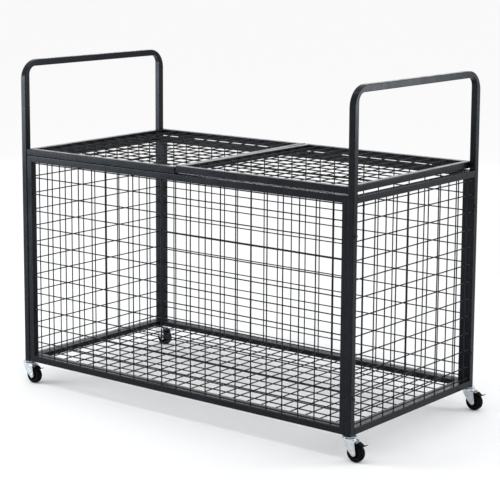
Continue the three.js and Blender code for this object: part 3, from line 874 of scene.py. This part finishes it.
def stem_mesh():
    """The upper disc, the groove under it, the race inside the cup, and the rivet head. The faces under the
    disc round the groove are blackened steel, as painted shade.
    """
    rivet_top = CROWN_BOTTOM - GAP
    race = CUP_RADIUS - CUP_WALL - RACE_LIP
    disc_bottom = LEG_BOTTOM - DISC_THICKNESS
    profile = [(0, rivet_top - RIVET_HEIGHT)]
    profile += arc((RIVET_RADIUS - RIVET_HEIGHT, rivet_top), RIVET_HEIGHT, -90, 0, RIVET_STEPS)
    profile += [(STEM_RADIUS, rivet_top), (STEM_RADIUS, CROWN_TOP + GAP), (race, CROWN_TOP + GAP)]
    profile += [(race, CUP_TOP - RACE_LIP), (GROOVE_RADIUS, CUP_TOP - GAP), (GROOVE_RADIUS, disc_bottom)]
    profile += [(CUP_RADIUS - GAP, disc_bottom), (CUP_RADIUS, disc_bottom + GAP)]
    profile += arc((CUP_RADIUS - RACE_LIP, LEG_BOTTOM - RACE_LIP), RACE_LIP, 0, 90, ROUND_STEPS)
    profile += [(STEM_RADIUS, LEG_BOTTOM), (STEM_RADIUS, stem_high.z), (0, stem_high.z)]
    bm = bmesh.new()
    lathe(bm, profile, RACE_SIDES)
    # Faces under the disc near the axis take the blackened steel: painted shade in the groove
    for face in bm.faces:
        middle = face.calc_center_median()
        painted_shade = CUP_TOP - SHEET < middle.z < LEG_BOTTOM - GAP
        face.material_index = int(painted_shade and middle.xy.length < PAINTED_SHADE_REACH)
    mesh = mesh_of(bm, "caster_stem_shape", ZINC)
    mesh.materials.append(BLACK_STEEL)
    return mesh


def fork_channel():
    """A channel of bent sheet along X, open below, tall enough for both legs."""
    bottom = WHEEL_RADIUS - LEG_END - SHEET
    inner_bend = FORK_BEND - SHEET / 2
    outer_z, inner_z = CROWN_TOP - FORK_BEND, CROWN_BOTTOM - inner_bend
    outline = [(LEG_OUTER, bottom)]
    outline += arc((LEG_OUTER - FORK_BEND, outer_z), FORK_BEND, 0, 90, SHEET_BEND_STEPS)
    outline += arc((FORK_BEND - LEG_OUTER, outer_z), FORK_BEND, 90, 180, SHEET_BEND_STEPS)
    outline += [(-LEG_OUTER, bottom), (-LEG_INNER, bottom)]
    outline += arc((inner_bend - LEG_INNER, inner_z), inner_bend, 180, 90, SHEET_BEND_STEPS)
    outline += arc((LEG_INNER - inner_bend, inner_z), inner_bend, 90, 0, SHEET_BEND_STEPS)
    outline.append((LEG_INNER, bottom))
    bm = bmesh.new()
    outline_prism(bm, outline, AXIS_X, -LEG_FRONT - SHEET, LEG_BACK + LEG_END)
    return bm


def leg_outline():
    """The side view of a fork: the crown's ends, a convex front edge, and a round end at the axle."""
    tip = arc((TRAIL - LEG_END_SET_BACK, WHEEL_RADIUS), LEG_END, *LEG_END_ANGLES, LEG_END_STEPS)
    front = curve(Vector((-LEG_FRONT, CROWN_BOTTOM)), LEG_PULL, Vector(tip[0]), LEG_STEPS)
    outline = [(-LEG_FRONT, CROWN_TOP + SHEET), *[tuple(point) for point in front], *tip[1:]]
    return [*outline, (LEG_BACK, CROWN_BOTTOM - SHEET), (LEG_BACK, CROWN_TOP + SHEET)]


def object_of(bm, name):
    bmesh.ops.recalc_face_normals(bm, faces=bm.faces)
    mesh = bpy.data.meshes.new(name)
    bm.to_mesh(mesh)
    bm.free()
    made = bpy.data.objects.new(name, mesh)
    bpy.context.scene.collection.objects.link(made)
    return made


def intersection(made, other):
    """The mesh that two objects share, which are deleted."""
    modifier = made.modifiers.new("shape", "BOOLEAN")
    modifier.operation = "INTERSECT"
    modifier.solver = "EXACT"
    modifier.object = other
    bpy.context.view_layer.update()
    graph = bpy.context.evaluated_depsgraph_get()
    bm = bmesh.new()
    bm.from_mesh(made.evaluated_get(graph).data)
    bpy.data.objects.remove(made)
    bpy.data.objects.remove(other)
    return bm


def fork_mesh():
    """Pressed fork: bent channel cut to its side view, with the raised cup and a rib down each leg."""
    cutter = bmesh.new()
    outline_prism(cutter, leg_outline(), AXIS_Y, -LEG_OUTER - SHEET, LEG_OUTER + SHEET)
    bm = intersection(object_of(fork_channel(), "fork_channel"), object_of(cutter, "fork_side_view"))
    inside = CUP_RADIUS - CUP_WALL
    bore = STEM_RADIUS + GAP
    profile = [(bore, CROWN_BOTTOM)]
    profile += arc((CUP_RADIUS - SHEET, CROWN_TOP), SHEET, -90, 0, SHEET_BEND_STEPS)
    profile += arc((CUP_RADIUS - CUP_RIM, CUP_TOP - CUP_RIM), CUP_RIM, *CUP_RIM_ANGLES, ROUND_STEPS)
    profile += [(inside, CUP_TOP - GAP), (inside, CROWN_TOP), (bore, CROWN_TOP), (bore, CROWN_BOTTOM)]
    lathe(bm, profile, RACE_SIDES)
    thin, thick = RIB_SWELL_SHARES
    for sign in (-1, 1):
        for i in range(RIB_STEPS + 1):
            share = i / RIB_STEPS
            at = RIB_START.lerp(RIB_END, share)
            swell = thin + (thick - thin) * share
            width = RIB_WIDTH * math.sin(math.pi * swell)
            lump(bm, Vector((at.x, sign * LEG_OUTER, at.y)), Vector((width, RIB_HEIGHT, width)))
    return mesh_of(bm, "caster_fork_shape", ZINC)


def axle_mesh():
    """A riveted axle: domed heads with a turned ring, on a plain shank."""
    half = [(AXLE_RADIUS, LEG_OUTER), (AXLE_HEAD_RADIUS, LEG_OUTER)]
    half += [(AXLE_HEAD_RADIUS * r, LEG_OUTER + AXLE_HEAD * h) for r, h in AXLE_DOME_SHARES]
    bm = bmesh.new()
    lathe(bm, [(r, -h) for r, h in reversed(half)] + half, AXLE_SIDES, towards(Y))
    return mesh_of(bm, "caster_axle_shape", ZINC)


# Wheel: a rubber tyre on a moulded hub. The side has steps, each out from the hub and in from the side.
TYRE_INSIDE = 16.2 * MM
TYRE_SHOULDER = 5 * MM
TREAD_CROWN = 0.5 * MM
SHOULDER_ANGLES = (90, 8)
SHOULDER_STEPS = 8
TYRE_SIDES = 96
TYRE_SIDE = [(0, 2.2 * MM), (0.6 * MM, 1.6 * MM), (1.6 * MM, 1.2 * MM), (2.2 * MM, 0.3 * MM), (3 * MM, 0)]
TREAD_SHARES = ((0.3, 1 / 4), (0, 1 / 9))
HUB_BOSS = 6.5 * MM
HUB_RIM = 16.4 * MM
HUB_RIM_WALL = 2 * MM
HUB_BORE = 3.3 * MM
HUB_WEB = 2 * MM
HUB_ROUND = 0.5 * MM
HUB_FACE_INSET = 0.1 * MM
HUB_EDGE_INSET = 2 * MM
HUB_FACE = WHEEL_HALF - HUB_FACE_INSET
HUB_EDGE = WHEEL_HALF - HUB_EDGE_INSET
HUB_SIDES = 64
HUB_RIB = 1.1 * MM
HUB_RIBS = 6


def mirrored_profile(half):
    """A closed wheel profile from its half on one side of the middle."""
    return [*[(r, -h) for r, h in half], *reversed(half), (half[0][0], -half[0][1])]


def tyre_mesh():
    """Rubber tyre with a crowned tread, rounded shoulders and a moulded step on each side."""
    half = [(TYRE_INSIDE + out, WHEEL_HALF - depth) for out, depth in TYRE_SIDE]
    shoulder = (WHEEL_RADIUS - TREAD_CROWN - TYRE_SHOULDER, WHEEL_HALF - TYRE_SHOULDER)
    half += arc(shoulder, TYRE_SHOULDER, *SHOULDER_ANGLES, SHOULDER_STEPS)
    half += [(WHEEL_RADIUS - TREAD_CROWN * fall, WHEEL_HALF * out) for fall, out in TREAD_SHARES]
    bm = bmesh.new()
    lathe(bm, mirrored_profile(half), TYRE_SIDES, towards(Y))
    return mesh_of(bm, "tyre_shape", RUBBER)


def hub_mesh():
    """Moulded hub with a boss, a thin web and ribs on each side."""
    half = [(HUB_BORE, HUB_FACE), (HUB_BOSS - HUB_ROUND, HUB_FACE), (HUB_BOSS, HUB_FACE - HUB_ROUND)]
    half += [(HUB_BOSS + HUB_ROUND, HUB_WEB), (HUB_RIM - HUB_RIM_WALL - HUB_ROUND, HUB_WEB)]
    half += [(HUB_RIM - HUB_RIM_WALL, HUB_EDGE), (HUB_RIM, HUB_EDGE)]
    bm = bmesh.new()
    lathe(bm, mirrored_profile(half), HUB_SIDES, towards(Y))
    near, far = HUB_BOSS - HUB_RIB, HUB_RIM - HUB_RIB
    for i in range(HUB_RIBS):
        rib = bmesh.new()
        side_view = [(near, -HUB_EDGE), (far, -HUB_EDGE), (far, HUB_EDGE), (near, HUB_EDGE)]
        outline_prism(rib, side_view, AXIS_Z, -HUB_RIB / 2, HUB_RIB / 2)
        copy_into(bm, rib, Matrix.Rotation(2 * math.pi * i / HUB_RIBS, 4, "Y"))
    return mesh_of(bm, "hub_shape", HUB_PLASTIC)


# Brake pedal: a bent strip, with its bends in X and Z from the pivot
PEDAL_PIVOT_REACH = 10 * MM
PEDAL_PIVOT_DROP = 3 * MM
PEDAL_PIVOT = Vector((PEDAL_PIVOT_REACH, 0, CROWN_BOTTOM - PEDAL_PIVOT_DROP))
PEDAL_BENDS = [(0, 0), (21 * MM, 0), (32 * MM, -7.5 * MM), (43 * MM, -3.5 * MM)]
PEDAL_SIDE_GAP = 3 * MM
PEDAL_HALF = LEG_INNER - PEDAL_SIDE_GAP
PEDAL_SHEET = 1.8 * MM
PEDAL_CORNER = 0.6 * MM
PEDAL_CORNER_STEPS = 3
PEDAL_BEND_REACH = 2.5 * MM
PEDAL_ROLL = 2.5 * MM
PEDAL_ROLL_SIDES = 24
PEDAL_TIP_INSET = 0.35 * MM
GRIP_BARS = 3
GRIP_STEP_SHARE = 0.24
GRIP_LENGTH_SHARE = 0.72
GRIP_WIDTH = 0.7 * MM
GRIP_HEIGHT = 0.6 * MM


def pedal_mesh():
    """A bent steel strip with pressed grip bars and a rolled hub, black from its first bend on: partly a
    coat and partly painted shade for the strip over the wheel.
    """
    bends = [PEDAL_PIVOT + Vector((x, 0, z)) for x, z in PEDAL_BENDS]
    path = [bends[0]]
    for before, bend, after in zip(bends, bends[1:], bends[2:]):
        into, out = (bend - before).normalized(), (after - bend).normalized()
        path += curve(bend - into * PEDAL_BEND_REACH, bend, bend + out * PEDAL_BEND_REACH, SHEET_BEND_STEPS)
    path.append(bends[-1] - X * PEDAL_TIP_INSET)
    bm = bmesh.new()
    sweep(bm, path, Y, rounded_rectangle(PEDAL_SHEET, 2 * PEDAL_HALF, PEDAL_CORNER, PEDAL_CORNER_STEPS))
    grip = Vector((GRIP_WIDTH, PEDAL_HALF * GRIP_LENGTH_SHARE, GRIP_HEIGHT))
    for i in range(GRIP_BARS):
        on_top = bends[-1].lerp(bends[-2], (i + 1) * GRIP_STEP_SHARE) + Z * PEDAL_SHEET / 2
        lump(bm, on_top, grip)
    inner, length = PEDAL_ROLL - GAP, 2 * PEDAL_HALF
    profile = [(0, 0), (inner, 0), (PEDAL_ROLL, GAP)]
    profile += [(PEDAL_ROLL, length - GAP), (inner, length), (0, length)]
    lathe(bm, profile, PEDAL_ROLL_SIDES, towards(Y, PEDAL_PIVOT - Y * PEDAL_HALF))
    # From the first bend on the strip takes the black material, partly a coat and partly painted shade
    darkened_from = bends[1].x - PEDAL_BEND_REACH / 2
    for face in bm.faces:
        face.material_index = int(face.calc_center_median().x > darkened_from)
    mesh = mesh_of(bm, "brake_pedal_shape", ZINC)
    mesh.materials.append(PEDAL_BLACK_AND_SHADE)
    return mesh


CASTER_SHAPES = {
    "stem": (stem_mesh(), "zinc_plate"),
    "fork": (fork_mesh(), "zinc_plate"),
    "brake_pedal": (pedal_mesh(), "pedal_steel"),
    "axle": (axle_mesh(), "zinc_plate"),
    "tyre": (tyre_mesh(), "wheel_rubber"),
    "hub": (hub_mesh(), "wheel_rubber"),
}


def make_caster(end, front):
    low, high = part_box(f"{end}_hoop")
    y = low.y + TUBE / 2 if front == "front" else high.y - TUBE / 2
    swivel = Vector(((low.x + high.x) / 2, y, 0))
    wheel = swivel + Vector((TRAIL, 0, WHEEL_RADIUS))
    name = f"{end}_{front}"
    bodies = {"stem": "cage", "fork": f"{name}_caster", "axle": f"{name}_caster",
              "brake_pedal": f"{name}_brake", "tyre": f"{name}_wheel", "hub": f"{name}_wheel"}
    nodes = {"tyre": "wheel", "hub": "wheel"}
    for part, (mesh, slot) in CASTER_SHAPES.items():
        at = wheel if part in ("axle", "tyre", "hub") else swivel
        node = f"{name}_caster_{nodes.get(part, part)}"
        piece = place_piece(f"{name}_caster_{part}_shape", mesh, bodies[part], [node], at)
        if part == "fork":
            bevelled(piece, FORK_BEVEL)


for end, _ in ENDS:
    for front, _ in FRONTS:
        make_caster(end, front)

# Studio: sizes and places are in metres, and the lamps' powers in watts
FLOOR_HALF = 60
FLOOR_LIT = (1, 5)
FLOOR_GRAIN = {"scale": 3, "detail": 2}
FLOOR_GLOSS = {"scale": 20, "detail": 2, "start": 0, "full": 1, "low": 0.85, "high": 0.95}
FLOOR_DARK = (0.78, 0.78, 0.78)
FLOOR_LIGHT = (0.8, 0.8, 0.8)
FLOOR_NEAR = (0.91, 0.91, 0.91)
FLOOR_FAR = (1, 1, 1)
AMBIENT = 0.95
LAMP_TINT = (0.91, 0.95, 1)
LAMPS = {
    "left_panel": {"place": (-2.62, -1.93, 0.9), "aim": (-0.1, -0.3, 0.72), "size": (1.9, 1), "power": 62},
    "right_panel": {"place": (1.8, 1.34, 1.08), "aim": (0.6, -0.1, 0.9), "size": (0.75, 1), "power": 13},
    "back_panel": {"place": (-2.9, 3.7, 1.5), "aim": (0, 0, 0.7), "size": (3, 1), "power": 8},
    "top_strip": {"place": (0, -0.8, 3.4), "aim": (0, 0, 0.5), "size": (2.6, 0.35), "power": 15},
}


def floor_material():
    """Pale floor that looks white and keeps the cart's shadow. It is paler beyond the lamps' light."""
    n = Nodes("pale_floor")
    grain = n.mix(n.noise(**FLOOR_GRAIN), FLOOR_DARK, FLOOR_LIGHT)
    away = n.span(n.distance(), *FLOOR_LIT, 0, 1)
    colour = n.mix(n.seen(), grain, n.mix(away, FLOOR_NEAR, FLOOR_FAR))
    return n.finish(colour, n.pattern(**FLOOR_GLOSS), specular=0)


def make_floor():
    bm = bmesh.new()
    bmesh.ops.create_grid(bm, x_segments=2, y_segments=2, size=FLOOR_HALF)
    floor = bpy.data.objects.new("studio_floor", mesh_of(bm, "floor", floor_material()))
    bpy.context.scene.collection.objects.link(floor)


def make_world():
    """White to the camera and in reflections, and an even, softer light on the surfaces."""
    world = bpy.data.worlds.new("studio")
    bpy.context.scene.world = world
    world.use_nodes = True
    tree = world.node_tree
    background = tree.nodes["Background"]
    background.inputs["Color"].default_value = (1, 1, 1, 1)
    strength = tree.nodes.new("ShaderNodeMapRange")
    strength.inputs["To Min"].default_value = AMBIENT
    tree.links.new(seen_rays(tree), strength.inputs["Value"])
    tree.links.new(strength.outputs[0], background.inputs["Strength"])


def make_lamp(name, place, aim, size, power):
    data = bpy.data.lights.new(name, "AREA")
    data.shape = "RECTANGLE"
    data.size, data.size_y = size
    data.color = LAMP_TINT
    data.energy = power
    lamp = bpy.data.objects.new(name, data)
    lamp.location = place
    lamp.rotation_mode = "QUATERNION"
    lamp.rotation_quaternion = (Vector(aim) - Vector(place)).to_track_quat("-Z", "Y")
    lamp.visible_camera = False
    bpy.context.scene.collection.objects.link(lamp)


def make_camera():
    yaw, pitch, roll = (math.radians(a) for a in (CAMERA_YAW, CAMERA_PITCH, CAMERA_ROLL))
    level = Vector((math.cos(yaw), math.sin(yaw), 0))
    ahead = Vector((-math.sin(yaw), math.cos(yaw), 0))
    forward = ahead * math.cos(pitch) - Z * math.sin(pitch)
    up = level.cross(forward)
    right = level * math.cos(roll) + up * math.sin(roll)
    up = up * math.cos(roll) - level * math.sin(roll)
    data = bpy.data.cameras.new("photo_camera")
    data.sensor_width = SENSOR
    data.lens = FOCAL_PIXELS / PHOTO_PIXELS * SENSOR
    data.shift_y = CAMERA_SHIFT_Y
    data.clip_end = VIEW_DEPTH
    camera = bpy.data.objects.new("photo_camera", data)
    turn = Matrix((right, up, -forward)).transposed()
    camera.matrix_world = Matrix.Translation(CAMERA_PLACE) @ turn.to_4x4()
    bpy.context.scene.collection.objects.link(camera)
    bpy.context.scene.camera = camera


make_floor()
make_world()
for name, lamp in LAMPS.items():
    make_lamp(name, **lamp)
make_camera()
bpy.context.scene.view_settings.view_transform = "Standard"

bpy.context.view_layer.update()
